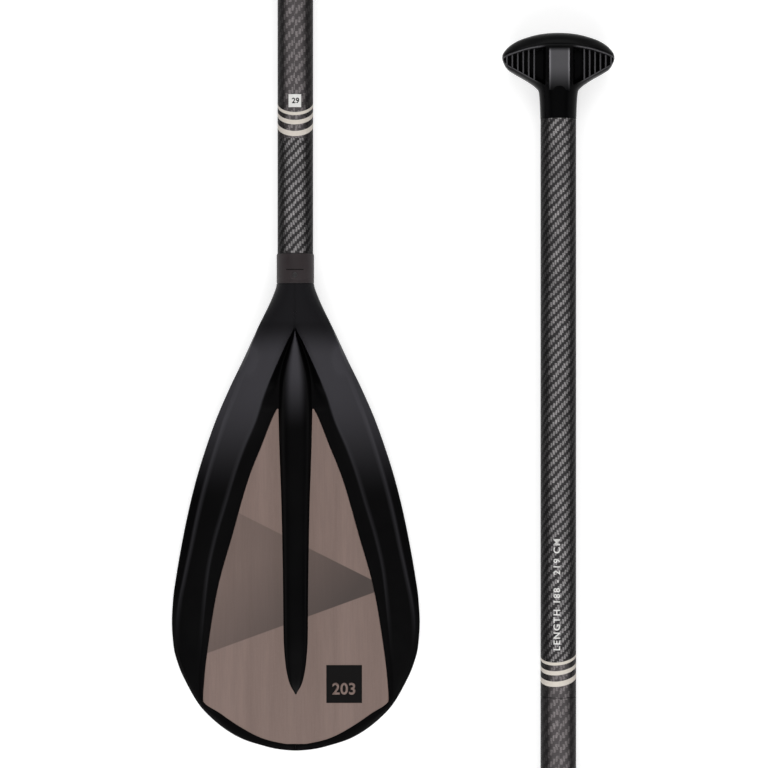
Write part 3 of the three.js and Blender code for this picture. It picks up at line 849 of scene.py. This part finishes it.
def lettering(name, text, height, look, place, spacing=1.0, cut=None):
    """Text as a thin mesh, cut into strips along one axis so that place (mm to metres) can bend it."""
    curve = bpy.data.curves.new(name, "FONT")
    curve.body = text
    curve.size = height / 0.72
    curve.align_x = "CENTER"
    curve.align_y = "CENTER"
    curve.offset = 0.03 * height
    curve.space_character = spacing
    curve.resolution_u = 4
    holder = bpy.data.objects.new(name + "_flat", curve)
    bpy.context.scene.collection.objects.link(holder)
    graph = bpy.context.evaluated_depsgraph_get()
    mesh = bpy.data.meshes.new_from_object(holder.evaluated_get(graph))
    bpy.data.objects.remove(holder)
    bm = bmesh.new()
    bm.from_mesh(mesh)
    if cut is not None:
        for i in range(-14, 15):
            at, normal = [0, 0, 0], [0, 0, 0]
            at[cut], normal[cut] = i * LETTER_STRIP, 1
            everything = bm.verts[:] + bm.edges[:] + bm.faces[:]
            bmesh.ops.bisect_plane(bm, geom=everything, plane_co=at, plane_no=normal)
    top = bmesh.ops.extrude_face_region(bm, geom=bm.faces[:])
    for vert in top["geom"]:
        if isinstance(vert, bmesh.types.BMVert):
            vert.co.z = 0.05
    bmesh.ops.recalc_face_normals(bm, faces=bm.faces)
    for vert in bm.verts:
        vert.co = Vector(place(vert.co.x, vert.co.y, vert.co.z))
    bmesh.ops.recalc_face_normals(bm, faces=bm.faces)
    bm.to_mesh(mesh)
    bm.free()
    mesh.materials.clear()
    mesh.materials.append(look)
    obj = bpy.data.objects.new(name, mesh)
    bpy.context.scene.collection.objects.link(obj)
    return obj


def on_shaft(axis_x, middle_x, middle_y, upright, lift=0.07):
    """Placer that wraps flat letters on a shaft; upright False runs them up along it."""
    def place(u, v, w):
        x, y = (u, v) if upright else (-v, u)
        angle = (x + middle_x) / TUBE_R
        r = TUBE_R + lift + w
        return ((axis_x + r * math.sin(angle)) * MM, (middle_y + y) * MM,
                (AXIS_Z + r * math.cos(angle)) * MM)
    return place


def on_inlay(x0, s0, level):
    def place(u, v, w):
        x, s = x0 + u, s0 + v
        return tuple(float(c) for c in blade_point(x, s, level + w - camber(x, s)))
    return place


def inlay_label():
    """Dark printed square low on the inlay's right side."""
    half_x, half_s, mid_x, mid_s = 14.6, 15.6, 39.6, 54.9
    place = on_inlay(mid_x, mid_s, 2.8)
    steps = 8
    verts, faces = [], []
    for level in (-0.05, 0.05):
        for i in range(steps + 1):
            for j in range(steps + 1):
                verts.append(place((2 * i / steps - 1) * half_x, (2 * j / steps - 1) * half_s, level))
    layer = (steps + 1) ** 2
    for i in range(steps):
        for j in range(steps):
            a = i * (steps + 1) + j
            quad = (a, a + steps + 1, a + steps + 2, a + 1)
            faces.append(quad[::-1])
            faces.append(tuple(layer + q for q in quad))
    rim = [i * (steps + 1) for i in range(steps + 1)]
    rim += [steps * (steps + 1) + j for j in range(1, steps + 1)]
    rim += [i * (steps + 1) + steps for i in range(steps - 1, -1, -1)]
    rim += list(range(steps - 1, 0, -1))
    for a, b in zip(rim, rim[1:] + rim[:1]):
        faces.append((a, b, layer + b, layer + a))
    return crease(face_out(new_object("inlay_label", verts, faces, LOOKS["label"])), 30)


class PADDLE_OT_prints(Operator):
    """Print the hoops, the plain labels and the length range"""

    bl_idname = "paddle.prints"
    bl_label = "Prints"

    def execute(self, context):
        tilt = settings().hoop_tilt
        for i, (low, high) in enumerate(((501.2, 505.4), (510.7, 514.3), (518.2, 520.7))):
            band = hoop(f"lower_hoop_{i}", LEFT_X, TIP_Y + low, TIP_Y + high, tilt, 0.0, LOOKS["cream"])
            dress(band, "lower_shaft", "carbon_tube")
        for i, (low, high) in enumerate(((511.5, 513.9), (518.5, 521.9), (526.9, 531.2))):
            band = hoop(f"upper_hoop_{i}", RIGHT_X, PALM_Y - high, PALM_Y - low, tilt * 0.63,
                        math.radians(-18), LOOKS["cream"])
            dress(band, "handle_section", "carbon_tube")
        square = curved_patch("shaft_label", LEFT_X, TUBE_R, TIP_Y + 524.7, TIP_Y + 535.2, 5.2,
                              LOOKS["white"])
        dress(square, "lower_shaft", "carbon_tube")
        number = lettering("shaft_number", "29", 4.4, LOOKS["label"],
                           on_shaft(LEFT_X, 0.6, TIP_Y + 529.8, True), cut=0)
        dress(number, "lower_shaft", "carbon_tube")
        line = lettering("length_range", settings().shaft_text, 5.4, LOOKS["white"],
                         on_shaft(RIGHT_X, -1.8, PALM_Y - 456.5, False, 0.03), 1.26, cut=1)
        dress(line, "handle_section", "carbon_tube")
        dress(inlay_label(), "blade_section", "black_nylon")
        size = lettering("inlay_number", "203", 9.5, LOOKS["inlay"], on_inlay(39.6, 50.5, 2.87))
        dress(size, "blade_section", "inlay_taupe")
        return {"FINISHED"}


# ------------------------------------------------------------------ grip
def grip_height(x, d):
    """Half thickness of the grip at x mm off the middle and d mm below the palm."""
    width = float(grip_width_at(d))
    depth = float(grip_depth_at(d))
    power = 2.0 + 1.6 * float(step(8, 20, d)) * (1 - float(step(34, 46, d)))
    across = min(abs(x) / max(width, 1e-6), 1)
    z = depth * (1 - across**power) ** (1 / 2.1)
    if 11 < abs(x) < 44.6 and 11 < d < 46:
        top = float(pocket_top_at(abs(x)))
        foot = float(pocket_foot_at(abs(x)))
        inside = float(step(0, 1.3, d - top)) * float(step(0, 1.3, foot - d))
        inside *= float(step(11, 12.6, abs(x))) * float(step(44.4, 43, abs(x)))
        z -= min(inside * 7.5, max(z - 3, 0))
    seam = abs(d - float(pocket_top_at(max(abs(x), 9))) + 1.9)
    if seam < 0.7 and d < 24:
        z -= 0.35 * (1 - seam / 0.7)
    return z


def grip_lip_highlights(x, d):
    """Painted highlights along the upper and lower lips of the hollows."""
    if not 9.5 < x < 45.5:
        return 0.0
    upper = math.exp(-((d - float(pocket_top_at(x)) + 0.5) / 0.45) ** 2)
    lower = math.exp(-((d - float(pocket_foot_at(x)) - 0.3) / 0.5) ** 2)
    return 0.55 * upper * float(step(10, 18, x)) + 0.4 * lower * float(step(14, 24, x))


def build_grip():
    nose = [3 * (1 - math.cos(math.pi / 2 * i / 8)) for i in range(1, 8)]
    rows = [0.004] + nose + list(np.arange(3, 48, 0.55)) + list(np.arange(48.4, 70, 1.6)) + [70.0]
    half = 92
    verts, painted_sheen = [], []
    for d in rows:
        width = float(grip_width_at(d))
        shares = [i / half - 1 for i in range(2 * half + 1)]
        eased = [math.copysign(abs(share) ** 0.93, share) * width for share in shares]
        front = [(x, grip_height(x, d)) for x in eased]
        loop = front + [(x, -z) for x, z in front[-2:0:-1]]
        for x, z in loop:
            verts.append(((RIGHT_X + x) * MM, (PALM_Y - d) * MM, (AXIS_Z + z) * MM))
            painted_sheen.append(grip_lip_highlights(abs(x), d))
    faces = loft_faces(len(rows), len(verts) // len(rows))
    obj = face_out(new_object("grip_head", verts, faces, LOOKS["head"], painted_sheen=painted_sheen))
    return crease(obj, 60)


def rib_nodes(look):
    """Node tree that stands a row of ribs across a wing and repeats it in all four hollows."""
    tree = bpy.data.node_groups.new("grip_rib_rows", "GeometryNodeTree")
    face = tree.interface
    face.new_socket("Geometry", in_out="OUTPUT", socket_type="NodeSocketGeometry")
    count = face.new_socket("Ribs", in_out="INPUT", socket_type="NodeSocketInt")
    pitch = face.new_socket("Pitch", in_out="INPUT", socket_type="NodeSocketFloat")
    nodes, links = tree.nodes, tree.links
    source = nodes.new("NodeGroupInput")
    offset = nodes.new("ShaderNodeCombineXYZ")
    links.new(source.outputs[1], offset.inputs[0])
    row = nodes.new("GeometryNodeMeshLine")
    row.inputs["Start Location"].default_value = (20.3 * MM, 0, 0)
    links.new(source.outputs[0], row.inputs["Count"])
    links.new(offset.outputs[0], row.inputs["Offset"])
    rib = nodes.new("GeometryNodeMeshCube")
    rib.inputs["Size"].default_value = (1.1 * MM, 1 * MM, 5 * MM)
    where = nodes.new("GeometryNodeInputPosition")
    split = nodes.new("ShaderNodeSeparateXYZ")
    links.new(where.outputs[0], split.inputs[0])

    def ranged(low, high, to_low, to_high):
        node = nodes.new("ShaderNodeMapRange")
        links.new(split.outputs[0], node.inputs["Value"])
        for key, number in zip(("From Min", "From Max", "To Min", "To Max"),
                               (low, high, to_low, to_high)):
            node.inputs[key].default_value = number
        return node.outputs[0]

    scale = nodes.new("ShaderNodeCombineXYZ")
    scale.inputs[0].default_value = 1
    links.new(ranged(20.3 * MM, 42 * MM, 26, 7.5), scale.inputs[1])
    links.new(ranged(20.3 * MM, 42 * MM, 1, 0.8), scale.inputs[2])
    lift = nodes.new("ShaderNodeCombineXYZ")
    links.new(ranged(20.3 * MM, 42 * MM, -26.4 * MM, -23.4 * MM), lift.inputs[1])
    links.new(ranged(20.3 * MM, 42 * MM, 10.6 * MM, 7.4 * MM), lift.inputs[2])
    raised = nodes.new("GeometryNodeSetPosition")
    links.new(row.outputs[0], raised.inputs[0])
    links.new(lift.outputs[0], raised.inputs["Offset"])
    stand = nodes.new("GeometryNodeInstanceOnPoints")
    links.new(raised.outputs[0], stand.inputs["Points"])
    links.new(rib.outputs[0], stand.inputs["Instance"])
    store = nodes.new("GeometryNodeCaptureAttribute")
    store.capture_items.new("VECTOR", "scale")
    links.new(row.outputs[0], store.inputs[0])
    links.new(scale.outputs[0], store.inputs[1])
    links.new(store.outputs[0], raised.inputs[0])
    links.new(store.outputs[1], stand.inputs["Scale"])
    join = nodes.new("GeometryNodeJoinGeometry")
    for turn in ((0, 0, 0), (0, math.pi, 0)):
        for mirror in (1, -1):
            place = nodes.new("GeometryNodeTransform")
            place.inputs["Rotation"].default_value = turn
            place.inputs["Scale"].default_value = (mirror, 1, 1)
            links.new(stand.outputs[0], place.inputs[0])
            links.new(place.outputs[0], join.inputs[0])
    real = nodes.new("GeometryNodeRealizeInstances")
    links.new(join.outputs[0], real.inputs[0])
    paint = nodes.new("GeometryNodeSetMaterial")
    paint.inputs["Material"].default_value = look
    links.new(real.outputs[0], paint.inputs[0])
    drain = nodes.new("NodeGroupOutput")
    links.new(paint.outputs[0], drain.inputs[0])
    return tree, count.identifier, pitch.identifier


def build_ribs():
    tree, count, pitch = rib_nodes(LOOKS["head"])
    obj = new_object("grip_ribs", [(0, 0, 0)], [], LOOKS["head"])
    rows = obj.modifiers.new("rib rows", "NODES")
    rows.node_group = tree
    rows[count] = settings().rib_count
    rows[pitch] = settings().rib_pitch
    bake(obj)
    place = Vector((RIGHT_X * MM, PALM_Y * MM, AXIS_Z * MM))
    bm = bmesh.new()
    bm.from_mesh(obj.data)
    for vert in bm.verts:
        vert.co += place
    bmesh.ops.bevel(bm, geom=bm.edges[:], offset=0.25 * MM, segments=2, affect="EDGES")
    bmesh.ops.recalc_face_normals(bm, faces=bm.faces)
    for face in bm.faces:
        face.material_index = 0
    bm.to_mesh(obj.data)
    bm.free()
    obj.data.materials.clear()
    obj.data.materials.append(LOOKS["head"])
    # painted highlight: every rib carries an even 0.3 of the grip's painted highlight colour
    tone = obj.data.attributes.new("painted_sheen", "FLOAT", "POINT")
    tone.data.foreach_set("value", [0.3] * len(obj.data.vertices))
    obj.data.polygons.foreach_set("use_smooth", [True] * len(obj.data.polygons))
    return crease(obj, 35)


def build_plate(side):
    """Raised bar down the stem, slightly dished between two rounded edges."""
    rows = np.linspace(12.6, 48, 60)
    verts, painted_sheen = [], []
    across = [-8.6, -8.55, -8.35, -8.0, -7.6, -6.6, -4, -1.5, 1.5, 4, 6.6, 7.6, 8.0, 8.35, 8.55, 8.6]
    for d in rows:
        ends = float(step(12.4, 14.4, d)) * float(step(49, 40, d))
        for x in across:
            rim = math.sqrt(max(1 - max((abs(x) - 7.6), 0) ** 2, 0))
            dish = 0.5 * (1 - (x / 7.6) ** 2) if abs(x) < 7.6 else 0
            base = float(grip_depth_at(d)) * math.sqrt(1 - (x / 30) ** 2) - 0.6
            z = base + (1.35 * rim - dish + 0.35) * ends
            verts.append(((RIGHT_X + side * x) * MM, (PALM_Y - d) * MM, (AXIS_Z + side * z) * MM))
            # painted highlight: full on the bar's rounded edges and 0.37 on its face, fading in below the
            # palm and out down the stem
            edge = 1.0 if 7.5 < abs(x) < 8.1 else 0.37
            painted_sheen.append(edge * float(step(50, 27, d)) * float(step(13.5, 17, d)))
        for x in across[::-1]:
            verts.append(((RIGHT_X + side * x) * MM, (PALM_Y - d) * MM, (AXIS_Z + side * 11) * MM))
            painted_sheen.append(0.0)
    faces = loft_faces(len(rows), 2 * len(across))
    name = "stem_bar_front" if side > 0 else "stem_bar_back"
    return crease(face_out(new_object(name, verts, faces, LOOKS["head"], painted_sheen=painted_sheen)), 50)


class PADDLE_OT_grip(Operator):
    """Shape the T-grip with its palm, ribbed hollows and raised bars"""

    bl_idname = "paddle.grip"
    bl_label = "T-Grip"

    def execute(self, context):
        dress(build_grip(), "handle_section", "black_nylon", "grip_body", "palm_cap")
        dress(build_ribs(), "handle_section", "black_nylon")
        dress(build_plate(1), "handle_section", "black_nylon", "grip_plate_front")
        dress(build_plate(-1), "handle_section", "black_nylon", "grip_plate_back")
        return {"FINISHED"}


# ------------------------------------------------------------------ clamp and ends
class PADDLE_OT_clamp(Operator):
    """Round off the clamp, its lever and bolt, the mouth rings and the tube plugs"""

    bl_idname = "paddle.clamp"
    bl_label = "Clamp and Ends"

    def execute(self, context):
        pieces = (
            ("clamp_body", "clamp_ring", "collar", "clamp_section", "collar_grey", 0.4),
            ("clamp_lever", "cam_lever", "collar", "lever", "collar_grey", 0.4),
            ("lever_pin", "hinge_pin", "steel", "clamp_section", "steel", 0.3),
            ("tension_bolt", "eye_bolt", "steel", "clamp_section", "steel", 0.25),
            ("tension_nut", "round_nut", "steel", "clamp_section", "steel", 0.3),
            ("mouth_ferrule", "ferrule_ring", "collar", "clamp_section", "collar_grey", 0.25),
            ("mouth_wiper", "wiper_ring", "dark", "clamp_section", "black_sleeve", 0.25),
            ("lower_end_plug", "lower_cap", "collar", "lower_shaft", "collar_grey", 0.25),
            ("extension_end_plug", "extension_cap", "collar", "extension", "collar_grey", 0.25),
            ("shaft_clip", "shaft_snap", "clip", "shaft_button", "clip_black", 0.2),
            ("handle_clip", "handle_snap", "clip", "handle_button", "clip_black", 0.2),
        )
        for node, name, look, body, slot, width in pieces:
            dress(softened(node, name, LOOKS[look], width), body, slot, node)
        return {"FINISHED"}


# ------------------------------------------------------------------ studio
def seen_rays(tree):
    """1 for rays that show the pale background: straight, mirrored or through glass."""
    path = tree.nodes.new("ShaderNodeLightPath")
    shown = math_node(tree, "MAXIMUM", path.outputs["Is Camera Ray"], path.outputs["Is Glossy Ray"])
    return math_node(tree, "MAXIMUM", shown, path.outputs["Is Transmission Ray"])


def floor_material():
    mat = bpy.data.materials.new("studio_floor")
    mat.use_nodes = True
    tree = mat.node_tree
    tree.nodes.clear()
    out = tree.nodes.new("ShaderNodeOutputMaterial")
    matte = tree.nodes.new("ShaderNodeBsdfDiffuse")
    matte.inputs["Color"].default_value = (0.62, 0.62, 0.62, 1)
    glow = tree.nodes.new("ShaderNodeEmission")
    add = tree.nodes.new("ShaderNodeAddShader")
    reach = tree.nodes.new("ShaderNodeVectorMath")
    reach.operation = "LENGTH"
    where, _ = object_axes(tree)
    link(tree, where, reach.inputs[0])
    strength = map_range(tree, reach.outputs["Value"], 0.9, 2.6, 0.62, 1.0)
    link(tree, math_node(tree, "MULTIPLY", seen_rays(tree), strength), glow.inputs["Strength"])
    link(tree, matte.outputs[0], add.inputs[0])
    link(tree, glow.outputs[0], add.inputs[1])
    link(tree, add.outputs[0], out.inputs["Surface"])
    return mat


def area_lamp(name, target, lean, distance, size_x, size_y, watts):
    """Softbox that faces the target, leaning by some degrees from straight above towards +Y."""
    data = bpy.data.lights.new(name, "AREA")
    data.shape = "RECTANGLE"
    data.size = size_x
    data.size_y = size_y
    data.energy = watts
    lamp = bpy.data.objects.new(name, data)
    angle = math.radians(lean)
    lamp.location = target + Vector((0, math.sin(angle), math.cos(angle))) * distance
    lamp.rotation_euler = (-angle, 0, 0)
    lamp.visible_camera = False
    bpy.context.scene.collection.objects.link(lamp)
    return lamp


class PADDLE_OT_studio(Operator):
    """Set the pale floor, the soft lamps, the world and the overhead camera"""

    bl_idname = "paddle.studio"
    bl_label = "Studio"

    def execute(self, context):
        scene = context.scene
        reach = 14.0
        corners = [(-reach, -reach), (reach, -reach), (reach, reach), (-reach, reach)]
        verts = [(x, y, 0) for x, y in corners] + [(x, y, 9) for x, y in corners]
        sides = [(i, i + 4, (i + 1) % 4 + 4, (i + 1) % 4) for i in range(4)]
        floor = new_object("studio_floor", verts, [(0, 1, 2, 3)] + sides, floor_material(), smooth=False)
        middle = Vector((0, 0.13, 0))
        area_lamp("softbox_over", middle, 0, 1.9, 3.0, 3.2, 13)
        area_lamp("softbox_foot", middle, -50, 2.0, 2.2, 1.0, 31)
        area_lamp("softbox_head", middle, 50, 2.0, 2.0, 0.9, 19)
        world = bpy.data.worlds.new("studio_world")
        world.use_nodes = True
        scene.world = world
        tree = world.node_tree
        back = tree.nodes["Background"]
        back.inputs["Color"].default_value = (1, 1, 1, 1)
        back.inputs["Strength"].default_value = 0.05
        camera = bpy.data.cameras.new("overhead")
        camera.lens = 135
        camera.sensor_width = 36
        camera.clip_end = 50
        holder = bpy.data.objects.new("overhead", camera)
        middle_x = LEFT_X + 72.2
        middle_y = TIP_Y + 300.5
        holder.location = (middle_x * MM, middle_y * MM, AXIS_Z * MM + settings().camera_height)
        scene.collection.objects.link(holder)
        scene.camera = holder
        scene.view_settings.view_transform = "Standard"
        return {"FINISHED"}


# ------------------------------------------------------------------ sidebar
class PADDLE_PT_sidebar(Panel):
    """Sizes and build steps in the 3D view's sidebar"""

    bl_label = "Travel Paddle"
    bl_idname = "PADDLE_PT_sidebar"
    bl_space_type = "VIEW_3D"
    bl_region_type = "UI"
    bl_category = "Paddle"

    def draw(self, context):
        layout = self.layout
        for key in PaddleSettings.__annotations__:
            layout.prop(context.scene.paddle, key)
        for step_class in STEPS:
            layout.operator(step_class.bl_idname)


STEPS = (
    PADDLE_OT_blade, PADDLE_OT_inlays, PADDLE_OT_collar, PADDLE_OT_shafts, PADDLE_OT_prints,
    PADDLE_OT_grip, PADDLE_OT_clamp, PADDLE_OT_studio,
)
CLASSES = (PaddleSettings, *STEPS, PADDLE_PT_sidebar)


def register():
    for item in CLASSES:
        bpy.utils.register_class(item)
    bpy.types.Scene.paddle = PointerProperty(type=PaddleSettings)


def unregister():
    del bpy.types.Scene.paddle
    for item in reversed(CLASSES):
        bpy.utils.unregister_class(item)


def main():
    register()
    make_looks()
    bpy.ops.paddle.blade()
    bpy.ops.paddle.inlays()
    bpy.ops.paddle.collar()
    bpy.ops.paddle.shafts()
    bpy.ops.paddle.prints()
    bpy.ops.paddle.grip()
    bpy.ops.paddle.clamp()
    bpy.ops.paddle.studio()


if __name__ == "__main__":
    main()
